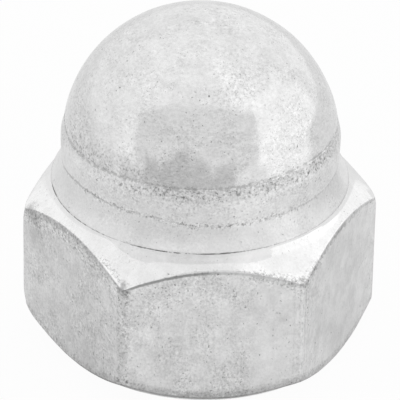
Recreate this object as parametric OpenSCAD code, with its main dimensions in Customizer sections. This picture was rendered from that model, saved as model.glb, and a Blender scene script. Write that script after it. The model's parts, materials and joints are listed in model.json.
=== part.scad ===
// Domed cap nut in one piece, turned from hexagon bar.
// Millimetres, +Z up. The origin is the middle of the bearing face, a flat of
// the hexagon faces -Y, and the blind thread opens downwards.

/* [Thread] */
// Nominal diameter of the thread
thread_d = 10; // [8:0.5:11]
// Pitch of the thread
thread_pitch = 1.5; // [1:0.25:1.75]
// Depth of the bore's straight wall, from the bearing face
bore_depth = 13; // [11:0.5:14]
// Included angle of the drill point at the bore's end
point_angle = 118; // [100:2:140]
// Included angle of the countersunk mouth
mouth_angle = 120; // [90:5:130]
// Diameter of the mouth's rim over that of the thread
mouth_over = 0.8; // [0.4:0.1:1.2]

/* [Hexagon] */
// Width across the flats
across_flats = 16; // [15.5:0.1:18]
// Height of the hexagon at the middle of a flat
flat_h = 8.2; // [7:0.1:9]
// How much of each sharp corner the bar's round skin takes away
corner_trim = 0.04; // [0.02:0.02:0.4]
// Slope of the chamfer above the flats, from horizontal
top_slope = 38; // [30:1:45]
// Slope of the chamfer below the flats, from horizontal
base_slope = 38; // [20:1:45]
// Distance from the flats in to the rim of the bearing face
base_inset = 0.3; // [0.15:0.05:0.6]

/* [Collar and cove] */
// Distance from the flats in to the collar
collar_inset = 0.32; // [0.2:0.02:0.5]
// Height of the collar's wall, where it stands up from the chamfer
collar_wall = 0.3; // [0.15:0.05:0.6]
// Height of the cove, from the collar up to the waist
cove_h = 1.25; // [0.9:0.05:1.6]
// Radius of the cove's hollow
cove_r = 3; // [2:0.1:6]

/* [Neck] */
// How far the neck stands out past the dome's widest line
neck_step = 0.1; // [0.05:0.05:0.3]
// How far the neck draws in, down to its waist
waist_draw = 0.17; // [0.05:0.01:0.3]
// How far the neck laps up over the dome's widest line
neck_lap = 1.3; // [0.8:0.1:2]
// Height of the slope at the neck's upper edge
shoulder_h = 0.7; // [0.3:0.05:1]
// Width of the ledge that is left where the slope meets the dome
ledge = 0.06; // [0.02:0.01:0.1]

/* [Dome] */
// Diameter of the dome
dome_d = 14.3; // [13:0.1:14.8]
// Height of the whole nut
overall_h = 18; // [17:0.1:20]

/* [Hidden] */
$fn = 128;

HEX_SIDES = 6;
METAL = [0.82, 0.82, 0.82];
// How far a cutter runs out past the face it enters by
overcut = 1;

// Hexagon, from its flats outwards to its corners and in to the bearing face
flat_r = across_flats / 2;
corner_r = flat_r / cos(180 / HEX_SIDES) - corner_trim;
bearing_r = flat_r - base_inset;
base_corner_z = (corner_r - bearing_r) * tan(base_slope);
top_corner_z = flat_h - (corner_r - flat_r) * tan(top_slope);

// Collar, where the chamfer ends, and the cove that rises from it
collar_r = flat_r - collar_inset;
collar_foot_z = flat_h + collar_inset * tan(top_slope);
collar_z = collar_foot_z + collar_wall;
waist_z = collar_z + cove_h;

// Dome, and the neck that carries it
dome_r = dome_d / 2;
dome_z = overall_h - dome_r;
neck_r = dome_r + neck_step;
waist_r = neck_r - waist_draw;
neck_z = dome_z + neck_lap;
ledge_r = sqrt(dome_r ^ 2 - neck_lap ^ 2) + ledge;

// Centre of the cove's arc, which passes through the waist and the collar
cove_w = collar_r - waist_r;
cove_chord = norm([cove_w, cove_h]);
cove_reach = sqrt(cove_r ^ 2 - (cove_chord / 2) ^ 2) / cove_chord;
cove_x = (waist_r + collar_r) / 2 + cove_h * cove_reach;
cove_z = (waist_z + collar_z) / 2 + cove_w * cove_reach;

// Bore, cut to the thread's minor diameter
bore_r = (thread_d - 1.25 * cos(30) * thread_pitch) / 2;
mouth_r = (thread_d + mouth_over) / 2;
mouth_h = (mouth_r - bore_r) / tan(mouth_angle / 2);
point_h = bore_r / tan(point_angle / 2);

// Half outline of everything below the dome, with the cove still a straight slope
module shank_outline() {
    polygon([
        [0, 0],
        [bearing_r, 0],
        [corner_r, base_corner_z],
        [corner_r, top_corner_z],
        [collar_r, collar_foot_z],
        [collar_r, collar_z],
        [waist_r, waist_z],
        [neck_r, neck_z - shoulder_h],
        [ledge_r, neck_z],
        [0, neck_z]
    ]);
}

// Half outline of the dome, from the neck's top up
module dome_outline() {
    intersection() {
        translate([0, dome_z])
            circle(r = dome_r);
        translate([0, neck_z])
            square([dome_r, overall_h - neck_z]);
    }
}

// The form tool's round nose, kept between the collar and the waist
module cove_cutter() {
    intersection() {
        translate([cove_x, cove_z])
            circle(r = cove_r);
        translate([0, collar_z])
            square([corner_r, cove_h]);
    }
}

// Everything the lathe turns on the outside
module turned_blank() {
    rotate_extrude()
        union() {
            difference() {
                shank_outline();
                cove_cutter();
            }
            dome_outline();
        }
}

// Bar that leaves the six flats
module hexagon_bar() {
    cylinder(r = flat_r / cos(180 / HEX_SIDES), h = overall_h, $fn = HEX_SIDES);
}

// Blind bore with its countersunk mouth and drill point
module tapped_bore() {
    rotate_extrude()
        polygon([
            [0, -overcut],
            [mouth_r, -overcut],
            [mouth_r, 0],
            [bore_r, mouth_h],
            [bore_r, bore_depth],
            [0, bore_depth + point_h]
        ]);
}

module cap_nut() {
    color(METAL)
        difference() {
            intersection() {
                hexagon_bar();
                turned_blank();
            }
            tapped_bore();
        }
}

cap_nut();
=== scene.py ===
"""Domed cap nut in satin plated steel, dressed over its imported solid."""

import json
import logging
import math
from dataclasses import dataclass
from enum import Enum
from functools import reduce
from typing import Any

import bmesh
import bpy
import numpy as np
from mathutils import Matrix, Quaternion, Vector, noise


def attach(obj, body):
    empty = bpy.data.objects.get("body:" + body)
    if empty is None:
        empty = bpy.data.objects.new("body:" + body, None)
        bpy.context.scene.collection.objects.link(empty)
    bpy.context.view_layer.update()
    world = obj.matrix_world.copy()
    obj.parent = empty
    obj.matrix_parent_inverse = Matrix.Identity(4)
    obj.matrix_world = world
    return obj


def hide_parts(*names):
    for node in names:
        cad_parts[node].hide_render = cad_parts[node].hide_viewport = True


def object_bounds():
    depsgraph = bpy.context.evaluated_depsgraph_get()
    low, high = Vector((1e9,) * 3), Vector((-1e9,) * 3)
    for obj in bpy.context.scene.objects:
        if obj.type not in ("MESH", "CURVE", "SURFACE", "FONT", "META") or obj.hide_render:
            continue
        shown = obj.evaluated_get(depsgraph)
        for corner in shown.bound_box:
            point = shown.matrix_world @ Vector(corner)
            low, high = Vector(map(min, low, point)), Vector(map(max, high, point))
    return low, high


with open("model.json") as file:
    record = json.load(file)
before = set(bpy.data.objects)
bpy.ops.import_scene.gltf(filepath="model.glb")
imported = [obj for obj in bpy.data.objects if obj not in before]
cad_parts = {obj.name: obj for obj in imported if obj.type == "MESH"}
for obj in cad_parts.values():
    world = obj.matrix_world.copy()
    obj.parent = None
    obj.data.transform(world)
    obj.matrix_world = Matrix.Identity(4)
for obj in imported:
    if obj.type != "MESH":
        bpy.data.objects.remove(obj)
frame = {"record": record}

MM = 0.001
LOG = logging.getLogger("cap_nut")
CAD_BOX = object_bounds()

Socket = bpy.types.NodeSocket
Triple = tuple[float, float, float]


# ---------------------------------------------------------------- helpers


def smooth(low: float, high: float, value: np.ndarray) -> np.ndarray:
    """Ease from 0 to 1 while the value goes from low to high."""
    t = np.clip((value - low) / (high - low), 0.0, 1.0)
    return t * t * (3.0 - 2.0 * t)


def hump(centre: float, reach: float, value: np.ndarray) -> np.ndarray:
    """Bell of height 1 at the centre that falls to about a third at the reach."""
    return np.exp(-(((value - centre) / reach) ** 2))


def heading_point(heading: float, radius: float = 1.0, height: float = 0.0) -> Triple:
    """Point at a heading, counted from the front flat towards the right, in degrees."""
    turn = math.radians(heading)
    return (radius * math.sin(turn), -radius * math.cos(turn), height)


def slope(angle: float) -> float:
    """Rise for each unit of run at an angle in degrees."""
    return math.tan(math.radians(angle))


def rough_field(points: np.ndarray, per_mm: float, seed: float, octaves: int = 1) -> np.ndarray:
    """Smooth noise between about -1 and 1, read at points given in millimetres.

    Args:
        points: Positions, one row each.
        per_mm: How many bumps lie along a millimetre.
        seed: Shift that makes one field differ from another.
        octaves: How many finer layers are added.

    Returns:
        One value for each row.
    """
    shift = Vector((seed, seed * 0.37, -seed * 0.61))
    out = np.empty(len(points))
    for i, p in enumerate(points):
        place = Vector(p) * per_mm + shift
        out[i] = sum(noise.noise(place * 2**k) / 2**k for k in range(octaves))
    return out


def rounded_path(
    corners: list[np.ndarray],
    radii: list[float | tuple[float, float]],
    arc_steps: list[int],
    span_steps: list[int],
) -> tuple[np.ndarray, np.ndarray]:
    """Walk along a path of straight spans with its corners rounded off.

    Every corner is an array of points, one for each azimuth, so one call lays out
    the section at all azimuths with the same number of points.

    Args:
        corners: The path's corners from end to end.
        radii: Rounding radius at each inner corner, or how far the rounding
            reaches back and ahead of it.
        arc_steps: Steps round each inner corner.
        span_steps: Steps along each straight span.

    Returns:
        The points, shaped (azimuths, points, 3), and for each point its place
        along the path: the span's number, or the corner's number less a half.
    """
    most_back, most_ahead = 0.6, 0.8
    starts, ends, arcs = [corners[0]], [], []
    for i, corner in enumerate(corners[1:-1]):
        before, after = corner - corners[i], corners[i + 2] - corner
        before_len = np.linalg.norm(before, axis=-1, keepdims=True)
        after_len = np.linalg.norm(after, axis=-1, keepdims=True)
        before, after = before / before_len, after / after_len
        if isinstance(radii[i], tuple):
            back, ahead = radii[i]
        else:
            cosine = np.clip((before * after).sum(-1, keepdims=True), -1.0, 1.0)
            back = ahead = radii[i] * np.tan(np.arccos(cosine) / 2)
        first = corner - before * np.minimum(back, most_back * before_len)
        last = corner + after * np.minimum(ahead, most_ahead * after_len)
        t = np.linspace(0.0, 1.0, arc_steps[i] + 1)[None, :, None]
        bend = corner[:, None] * 2 * t * (1 - t)
        arcs.append(first[:, None] * (1 - t) ** 2 + bend + last[:, None] * t**2)
        ends.append(first)
        starts.append(last)
    ends.append(corners[-1])
    pieces, tags = [], []
    for i, (first, last) in enumerate(zip(starts, ends)):
        t = np.linspace(0.0, 1.0, span_steps[i] + 1)[None, :, None]
        span = first[:, None] * (1 - t) + last[:, None] * t
        pieces.append(span[:, min(i, 1) : -1 if i < len(arcs) else None])
        tags.append(np.full(pieces[-1].shape[1], float(i)))
        if i < len(arcs):
            pieces.append(arcs[i])
            tags.append(np.full(arcs[i].shape[1], i + 0.5))
    return np.concatenate(pieces, axis=1), np.concatenate(tags)


def new_object(name: str, points: list[Any], faces: list[tuple[int, ...]]) -> bpy.types.Object:
    """Make a mesh object and link it into the scene.

    Args:
        name: The object's name.
        points: Corners in metres.
        faces: Corner numbers of each face.

    Returns:
        The object.
    """
    mesh = bpy.data.meshes.new(name)
    mesh.from_pydata(points, [], faces)
    made = bpy.data.objects.new(name, mesh)
    bpy.context.scene.collection.objects.link(made)
    return made


# ------------------------------------------------------------------ sizes


@dataclass(frozen=True)
class NutSizes:
    """The nut's sizes in millimetres and degrees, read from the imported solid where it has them."""

    flat_r: float
    corner_r: float
    overall_h: float
    bore_r: float
    wall_length: float
    flat_h: float = 8.2
    top_slope: float = 38.0
    base_slope: float = 38.0
    base_inset: float = 0.3
    collar_inset: float = 0.32
    collar_wall: float = 0.3
    cove_h: float = 1.25
    cove_r: float = 3.0
    dome_d: float = 14.3
    neck_step: float = 0.1
    waist_draw: float = 0.17
    neck_lap: float = 1.3
    shoulder_h: float = 0.7
    ledge: float = 0.06
    ledge_rise: float = 0.05
    thread_d: float = 10.0
    pitch: float = 1.5
    mouth_over: float = 0.8
    mouth_angle: float = 120.0
    point_angle: float = 118.0

    @classmethod
    def from_frame(cls, box: tuple[Vector, Vector], record: dict[str, Any]) -> "NutSizes":
        """Read the outer sizes from the box and the bore from its mount.

        Args:
            box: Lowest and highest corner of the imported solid, in metres.
            record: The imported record, which states the thread's bore.

        Returns:
            The sizes.
        """
        low, high = box
        bore = next(m["dims"] for m in record["mounts"] if m["name"] == "thread")
        return cls(
            flat_r=(high.y - low.y) / 2 / MM,
            corner_r=(high.x - low.x) / 2 / MM,
            overall_h=(high.z - low.z) / MM,
            bore_r=bore["r_mm"],
            wall_length=bore["length_mm"],
        )

    @property
    def bearing_r(self) -> float:
        """Radius of the bearing face's rim."""
        return self.flat_r - self.base_inset

    @property
    def collar_r(self) -> float:
        """Radius of the collar."""
        return self.flat_r - self.collar_inset

    @property
    def collar_foot_z(self) -> float:
        """Height at which the chamfer meets the collar."""
        return self.flat_h + self.collar_inset * slope(self.top_slope)

    @property
    def collar_z(self) -> float:
        """Height of the collar's upper edge."""
        return self.collar_foot_z + self.collar_wall

    @property
    def waist_z(self) -> float:
        """Height of the waist, where the cove ends and the neck begins."""
        return self.collar_z + self.cove_h

    @property
    def dome_r(self) -> float:
        """Radius of the dome."""
        return self.dome_d / 2

    @property
    def dome_z(self) -> float:
        """Height of the dome's centre."""
        return self.overall_h - self.dome_r

    @property
    def neck_r(self) -> float:
        """Radius of the neck at its widest."""
        return self.dome_r + self.neck_step

    @property
    def waist_r(self) -> float:
        """Radius of the waist."""
        return self.neck_r - self.waist_draw

    @property
    def neck_z(self) -> float:
        """Height at which the neck ends and the dome shows."""
        return self.dome_z + self.neck_lap

    @property
    def mouth_r(self) -> float:
        """Radius of the countersunk mouth's rim."""
        return (self.thread_d + self.mouth_over) / 2

    @property
    def wall_low(self) -> float:
        """Height at which the mouth ends and the bore's wall begins."""
        return (self.mouth_r - self.bore_r) / slope(self.mouth_angle / 2)

    @property
    def wall_high(self) -> float:
        """Height at which the bore's wall ends and the drill point begins."""
        return self.wall_low + self.wall_length


class Zone(Enum):
    """Stretches of the nut's skin, each with a finish of its own."""

    BEARING = 0
    FLAT = 1
    CHAMFER = 2
    COVE = 3
    NECK = 4
    DOME = 5
    THREAD = 6


class Mark(Enum):
    """Lines on the nut that wear, dirt, painted shade and painted glints follow; each is a distance kept on
    the mesh.
    """

    BASE = "gap_base"
    ARC = "gap_arc"
    COLLAR = "gap_collar"
    WAIST = "gap_waist"
    CROWN = "gap_crown"
    POST = "gap_post"


# --------------------------------------------------------------- finishes


# Kinds of noise: features along a millimetre, octaves of finer detail and their strength.
SEAM_EDGE, SPOT_EDGE, BAND_EDGE = (4.5, 3.0, 0.7), (4.0, 3.0, 0.7), (1.5, 2.0, 0.5)
CRESCENT_EDGE, WORN, CLOUD = (2.2, 4.0, 0.7), (0.5, 5.0, 0.62), (0.55, 3.0, 0.55)
SPECKLE, GLOSS, SWELL = (7.5, 3.0, 0.7), (1.3, 4.0, 0.6), (0.9, 3.0, 0.5)
BLOTCH = (1.4, 5.0, 0.62)


class NodeBench:
    """Short calls for laying out shader nodes; its masks are read at the position in where."""

    def __init__(self, tree: bpy.types.NodeTree) -> None:
        """Start on an empty tree.

        Args:
            tree: The tree that takes the nodes.
        """
        self.tree = tree
        self.where: Any = None
        tree.nodes.clear()

    @classmethod
    def material(cls, name: str) -> tuple[bpy.types.Material, "NodeBench"]:
        """Start a material of its own.

        Args:
            name: The material's name.

        Returns:
            The material, and the bench that lays out its nodes.
        """
        made = bpy.data.materials.new(name)
        made.use_nodes = True
        return made, cls(made.node_tree)

    def add(self, kind: str, inputs: dict[Any, Any] | None = None, **settings: Any) -> bpy.types.Node:
        """Add a node.

        Args:
            kind: The node's type, such as Bump.
            inputs: Socket name or number, with a value or another socket.
            settings: Properties to set on the node.

        Returns:
            The new node.
        """
        node = self.tree.nodes.new("ShaderNode" + kind)
        for name, value in settings.items():
            setattr(node, name, value)
        for name, value in (inputs or {}).items():
            self.feed(node.inputs[name], value)
        return node

    def feed(self, socket: Socket, value: Any) -> None:
        """Link a socket, or set its value.

        Args:
            socket: The socket to feed.
            value: Another socket to link, or what to set.
        """
        if isinstance(value, Socket):
            self.tree.links.new(value, socket)
        else:
            socket.default_value = value

    def math(self, operation: str, *values: Any, clamp: bool = False) -> Socket:
        """Do arithmetic on sockets and numbers.

        Args:
            operation: The math node's operation.
            values: Its operands, in order; a product may have more than two.
            clamp: Whether to hold the result between 0 and 1.

        Returns:
            The result's socket.
        """
        if operation == "MULTIPLY" and len(values) > 2:
            values = (self.math(operation, *values[:-1]), values[-1])
        node = self.add("Math", dict(enumerate(values)), operation=operation, use_clamp=clamp)
        return node.outputs[0]

    def vector(self, operation: str, *values: Any) -> Socket:
        """Do arithmetic on positions and directions, as math does on numbers."""
        node = self.add("VectorMath", dict(enumerate(values)), operation=operation)
        return node.outputs["Value" if operation in ("DOT_PRODUCT", "DISTANCE", "LENGTH") else "Vector"]

    def ease(self, value: Any, low: float, high: float, start: float = 0.0, end: float = 1.0) -> Socket:
        """Ease from start to end while the value goes from low to high."""
        inputs = {"Value": value, "From Min": low, "From Max": high, "To Min": start, "To Max": end}
        return self.add("MapRange", inputs, interpolation_type="SMOOTHSTEP").outputs["Result"]

    def within(self, value: Any, low: float, high: float, soft: float) -> Socket:
        """Mark where the value lies between low and high, with soft ends."""
        over = self.ease(value, low - soft, low + soft)
        return self.math("MULTIPLY", over, self.ease(value, high + soft, high - soft))

    def noise(
        self, per_mm: float, detail: float = 2.0, roughness: float = 0.5, where: Any = None
    ) -> Socket:
        """Soft noise around one half, read where the bench stands unless told otherwise."""
        inputs = {"Vector": where or self.where, "Scale": per_mm, "Detail": detail, "Roughness": roughness}
        return self.add("TexNoise", inputs).outputs["Fac"]

    def wander(self, reach: float, *kind: Any) -> Socket:
        """Noise of a kind, spread to both sides of 0 as far as the reach."""
        return self.math("MULTIPLY_ADD", self.noise(*kind), 2 * reach, -reach)

    def pull(self, level: Any, mask: Any, target: float) -> Socket:
        """Pull a level to a target where a mask is full."""
        change = self.math("MULTIPLY", mask, self.math("SUBTRACT", target, level))
        return self.math("ADD", level, change)

    def stain(self, share: Any, colour: Any, shade: float) -> Socket:
        """Mix a share of a plain grey into a colour."""
        inputs = {"Factor": share, "A": colour, "B": (shade, shade, shade, 1.0)}
        return self.add("Mix", inputs, data_type="RGBA").outputs["Result"]

    def gap(self, mark: Mark) -> Socket:
        """Distance from a line on the nut, as the mesh keeps it."""
        return self.add("Attribute", attribute_name=mark.value).outputs["Fac"]


@dataclass(frozen=True)
class Place:
    """A stretch round the nut, named by its heading from the front flat."""

    heading: float
    spread: float
    elsewhere: float = 0.0

    def mask(self, bench: NodeBench) -> Socket:
        """Full near the heading, falling to the level elsewhere past the spread.

        Args:
            bench: The tree being built.

        Returns:
            The share's socket.
        """
        outward = bench.vector("NORMALIZE", bench.vector("MULTIPLY", bench.where, (1.0, 1.0, 0.0)))
        toward = bench.vector("DOT_PRODUCT", outward, heading_point(self.heading))
        gone, full = (math.cos(math.radians(self.spread * share)) for share in (1.6, 0.5))
        return bench.ease(toward, gone, full, self.elsewhere, 1.0)


@dataclass(frozen=True)
class Seam:
    """A ragged, broken line along a mark of the nut. Dark ones are dirt with painted shade in the creases
    and painted shade along the base; light ones are painted glints.
    """

    mark: Mark
    width: float
    strength: float
    at: float = 0.0
    wobble: float = 0.05
    gaps: float = 0.45
    dash: float = 1.6
    place: Place | None = None

    def mask(self, bench: NodeBench) -> Socket:
        """Draw the seam.

        Args:
            bench: The tree being built.

        Returns:
            A mask that is 1 where the seam is strongest: darkest for dirt and shade, brightest for a painted
            glint.
        """
        shake = bench.wander(self.wobble, *SEAM_EDGE)
        off = bench.math("ADD", bench.math("SUBTRACT", bench.gap(self.mark), self.at), shake)
        core = bench.ease(bench.math("ABSOLUTE", off), self.width, self.width * 0.25)
        shifted = bench.vector("ADD", bench.where, (7.3, 1.9, self.width * 90.0))
        broken = bench.noise(self.dash, 3.0, 0.7, shifted)
        kept = bench.ease(broken, self.gaps - 0.07, self.gaps + 0.07)
        level = bench.math("MULTIPLY", core, kept, self.strength)
        return bench.math("MULTIPLY", level, self.place.mask(bench)) if self.place else level


@dataclass(frozen=True)
class PitBand:
    """A strip along a line of the nut where the pits crowd."""

    mark: Mark
    low: float
    high: float
    level: float
    soft: float = 0.12
    place: Place | None = None

    def mask(self, bench: NodeBench) -> Socket:
        """How much the strip adds to the pits.

        Args:
            bench: The tree being built.

        Returns:
            The added density's socket.
        """
        gap = bench.math("ADD", bench.gap(self.mark), bench.wander(2 * self.soft, *BAND_EDGE))
        level = bench.math("MULTIPLY", bench.within(gap, self.low, self.high, self.soft), self.level)
        return bench.math("MULTIPLY", level, self.place.mask(bench)) if self.place else level


@dataclass(frozen=True)
class PaintedCrescent:
    """Painted reflection: a grey crescent on the chamfer under the collar, drawn as duller plating."""

    heading: float
    reach: float
    depth: float
    last: float = 90.0

    def mask(self, bench: NodeBench) -> Socket:
        """Draw the painted crescent, deepest at its heading and ending at its last heading.

        Args:
            bench: The tree being built.

        Returns:
            A mask that is 1 inside the painted crescent.
        """
        apart = bench.add("SeparateXYZ", {0: bench.where})
        back = bench.math("MULTIPLY", apart.outputs["Y"], -1.0)
        heading = bench.math("DEGREES", bench.math("ARCTAN2", apart.outputs["X"], back))
        off = bench.math("ABSOLUTE", bench.math("SUBTRACT", heading, self.heading))
        share = bench.math("POWER", bench.math("DIVIDE", off, self.reach), 1.4)
        depth = bench.math("MULTIPLY_ADD", share, -self.depth, self.depth)
        shake = bench.wander(0.12, *CRESCENT_EDGE)
        past = bench.math("ADD", bench.math("ADD", bench.gap(Mark.COLLAR), depth), shake)
        before_last = bench.ease(heading, self.last + 0.2, self.last - 0.2)
        return bench.math("MULTIPLY", bench.ease(past, -0.025, 0.025), before_last)


@dataclass(frozen=True)
class Spot:
    """A worn, dirty or pitted spot, such as a corner of the hexagon gets."""

    heading: float
    height: float
    reach: float
    strength: float
    radius: float = 9.15

    def mask(self, bench: NodeBench) -> Socket:
        """Draw the spot.

        Args:
            bench: The tree being built.

        Returns:
            A mask that is 1 on the darkest of the spot.
        """
        middle = heading_point(self.heading, self.radius, self.height)
        shake = bench.wander(0.8 * self.reach, *SPOT_EDGE)
        far = bench.math("ADD", bench.vector("DISTANCE", bench.where, middle), shake)
        return bench.math("MULTIPLY", bench.ease(far, self.reach, self.reach * 0.3), self.strength)


@dataclass(frozen=True)
class ToneAndShading:
    """A side or patch of the nut made lighter or darker: partly the plating's own tone, partly painted light
    and shade where its reflections fall brighter or darker.
    """

    place: Place | Spot
    change: float


@dataclass(frozen=True)
class PitLayer:
    """One size of pits: how close they can lie, how wide they grow and how dark they get."""

    per_mm: float
    width: float
    dark: float


PIT_LAYERS = (PitLayer(3.2, 1.0, 1.0), PitLayer(6.0, 1.6, 1.0), PitLayer(9.5, 2.0, 0.7))
PIT_SHARE, PIT_SHADE, DIRT_AND_SHADE_GREY, PAINTED_GLINT_GREY = 0.8, 0.14, 0.05, 0.99


@dataclass(frozen=True)
class PlatedFinish:
    """Plated steel as one way of working leaves it."""

    name: str
    shade: float
    roughness: float
    cloud: float = 0.05
    blotch: float = 0.06
    grain: float = 0.12
    stretch: Triple = (1.0, 1.0, 1.0)
    pits: float = 0.3
    pit_size: float = 0.16
    broad: float = 0.0
    bump: float = 0.2
    wear: float = 0.04
    grain_per_mm: float = 8.0
    calm: tuple[Place, ...] = ()
    seams: tuple[Seam, ...] = ()
    bands: tuple[PitBand | Spot, ...] = ()
    spots: tuple[Spot, ...] = ()
    tones_and_shading: tuple[ToneAndShading, ...] = ()
    painted_glints: tuple[Seam, ...] = ()
    painted_crescents: tuple[PaintedCrescent, ...] = ()


class Plating:
    """The shader tree of one finish."""

    def __init__(self, finish: PlatedFinish) -> None:
        """Mark where the skin is calm, worn, dull under the painted crescent, dark with dirt and painted
        shade, and crowded with pits.

        Args:
            finish: What the skin is like.
        """
        self.finish = finish
        self.made, self.bench = NodeBench.material(finish.name)
        bench = self.bench
        metres = bench.add("TexCoord").outputs["Object"]
        bench.where = bench.vector("MULTIPLY", metres, (1.0 / MM, 1.0 / MM, 1.0 / MM))
        self.drawn = bench.vector("MULTIPLY", bench.where, finish.stretch)
        self.fine = bench.noise(finish.grain_per_mm, 3.0, 0.75, self.drawn)
        self.calm = self._most(finish.calm)
        worn = bench.ease(bench.noise(*WORN), 0.42, 0.58)
        self.worn = bench.math("MULTIPLY", worn, bench.math("SUBTRACT", 1.0, self.calm))
        self.crowd: Any = 0.0
        for band in finish.bands:
            self.crowd = bench.math("ADD", self.crowd, band.mask(bench))
        self.crescent = self._most(finish.painted_crescents)
        # Dirt together with painted shade in the creases and along the base.
        self.dirt_and_shade = self._most((*finish.seams, *finish.spots))
        self.pits = self._pits()

    def material(self) -> bpy.types.Material:
        """Join the colour, the gloss and the relief.

        Returns:
            A metal material with clouded plating, pits, dirt and painted shade in the creases, and painted
            glints.
        """
        bench = self.bench
        colour = bench.stain(bench.math("MULTIPLY", self.pits, PIT_SHARE), self._plate(), PIT_SHADE)
        # Painted highlights: the glints pull the colour towards near white.
        colour = bench.stain(self._most(self.finish.painted_glints), colour, PAINTED_GLINT_GREY)
        inputs = {
            "Metallic": 1.0,
            "Base Color": bench.stain(self.dirt_and_shade, colour, DIRT_AND_SHADE_GREY),
            "Roughness": self._roughness(),
            "Normal": self._relief(),
        }
        shader = bench.add("BsdfPrincipled", inputs)
        bench.add("OutputMaterial", {"Surface": shader.outputs["BSDF"]})
        return self.made

    def _most(self, parts: tuple[Any, ...]) -> Any:
        """Join the masks of some parts, keeping the strongest."""
        masks = (part.mask(self.bench) for part in parts)
        return reduce(lambda most, mask: self.bench.math("MAXIMUM", most, mask), masks, 0.0)

    def _pits(self) -> Any:
        """Scatter small ragged pits, more of them where the skin is worn or crowded.

        Returns:
            A mask that is 1 inside a pit.
        """
        bench, finish = self.bench, self.finish
        chance = bench.math("MULTIPLY", bench.math("MULTIPLY_ADD", self.worn, 1.5, 0.25), finish.pits)
        chance = bench.math("MULTIPLY_ADD", self.crowd, 0.3, chance)
        shift = bench.add("TexNoise", {"Vector": bench.where, "Scale": 9.0, "Detail": 2.0})
        ragged = bench.vector("MULTIPLY_ADD", shift.outputs["Color"], (0.22, 0.22, 0.22), bench.where)
        joint: Any = 0.0
        for layer in PIT_LAYERS:
            size = finish.pit_size * layer.width
            cells = bench.add("TexVoronoi", {"Vector": ragged, "Scale": layer.per_mm}).outputs
            draw = bench.add("SeparateColor", {"Color": cells["Color"]}).outputs
            there = bench.math("LESS_THAN", draw[0], chance)
            width = bench.math("MULTIPLY_ADD", draw[1], size, size * 0.4)
            share = bench.math("DIVIDE", cells["Distance"], width)
            depth = bench.ease(bench.math("SUBTRACT", 1.0, share, clamp=True), 0.0, 0.6)
            dark = bench.math("MULTIPLY_ADD", bench.math("POWER", draw[2], 2.5), 0.8, 0.2)
            joint = bench.math("MAXIMUM", joint, bench.math("MULTIPLY", there, dark, depth, layer.dark))
        return joint

    def _plate(self) -> Socket:
        """Cloud and grain the plating, speckle it where pits crowd, with painted glints among the specks,
        and tint its sides, partly with painted light and shade.

        Returns:
            The colour's socket.
        """
        bench, finish = self.bench, self.finish
        cloud = bench.wander(finish.cloud, *CLOUD)
        blotched = bench.noise(*BLOTCH, self.drawn)
        patch = bench.ease(blotched, 0.38, 0.62, -finish.blotch, finish.blotch)
        rough = bench.math("MULTIPLY_ADD", self.worn, 0.6 * finish.grain, 0.65 * finish.grain)
        rough = bench.math("MULTIPLY", rough, bench.math("MULTIPLY_ADD", self.calm, -0.45, 1.0))
        grain = bench.math("MULTIPLY", bench.math("MULTIPLY_ADD", self.fine, 2.0, -1.0), rough)
        change = bench.math("ADD", bench.math("ADD", cloud, patch), grain)
        change = bench.math("MULTIPLY_ADD", self.worn, -finish.wear, change)
        # Where pits crowd: light flecks, painted glints on the pit rims, and dark specks.
        speckle = bench.noise(*SPECKLE)
        fleck_glints = bench.ease(speckle, 0.54, 0.64, 0.0, 0.25)
        specks = bench.ease(speckle, 0.47, 0.37, 0.0, 0.6)
        both = bench.math("SUBTRACT", fleck_glints, specks)
        change = bench.math("MULTIPLY_ADD", both, bench.math("MINIMUM", self.crowd, 1.0), change)
        # Tints: plating tone together with painted light and shade.
        for tone_and_shading in finish.tones_and_shading:
            change = bench.math("MULTIPLY_ADD", tone_and_shading.place.mask(bench), tone_and_shading.change, change)
        # Painted reflection: the crescent is lightened as it nears the collar.
        if finish.painted_crescents:
            crescent_lift = bench.ease(bench.gap(Mark.COLLAR), -0.5, -0.2, 0.0, 0.06)
            change = bench.math("MULTIPLY_ADD", self.crescent, crescent_lift, change)
        level = bench.math("MULTIPLY_ADD", change, finish.shade, finish.shade)
        grey = bench.add("CombineColor", {"Red": level, "Green": level, "Blue": level})
        return grey.outputs["Color"]

    def _roughness(self) -> Socket:
        """Vary the gloss with the plating's clouds, and dull pits, dirt with its painted shade, and the
        painted crescent.

        Returns:
            The roughness socket.
        """
        bench, half = self.bench, self.finish.roughness * 0.5
        patchy = bench.math("ADD", bench.noise(*GLOSS), self.fine)
        level = bench.math("MULTIPLY_ADD", patchy, half, half)
        spoiled = bench.math("MULTIPLY", bench.math("MAXIMUM", self.pits, self.dirt_and_shade), 0.35)
        return bench.math("ADD", level, bench.math("MULTIPLY_ADD", self.crescent, 0.5, spoiled), clamp=True)

    def _relief(self) -> Socket:
        """Raise the grain and sink the pits.

        Returns:
            The normal's socket.
        """
        bench = self.bench
        height = bench.math("MULTIPLY_ADD", bench.noise(*SWELL), self.finish.broad, self.fine)
        height = bench.math("SUBTRACT", height, bench.math("MULTIPLY", self.pits, 1.2))
        inputs = {"Height": height, "Strength": self.finish.bump, "Distance": 0.03 * MM}
        return bench.add("Bump", inputs).outputs["Normal"]


FAR_LEFT_CORNER, LEFT_CORNER, RIGHT_CORNER, FAR_RIGHT_CORNER = -90.0, -30.0, 30.0, 90.0

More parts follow.
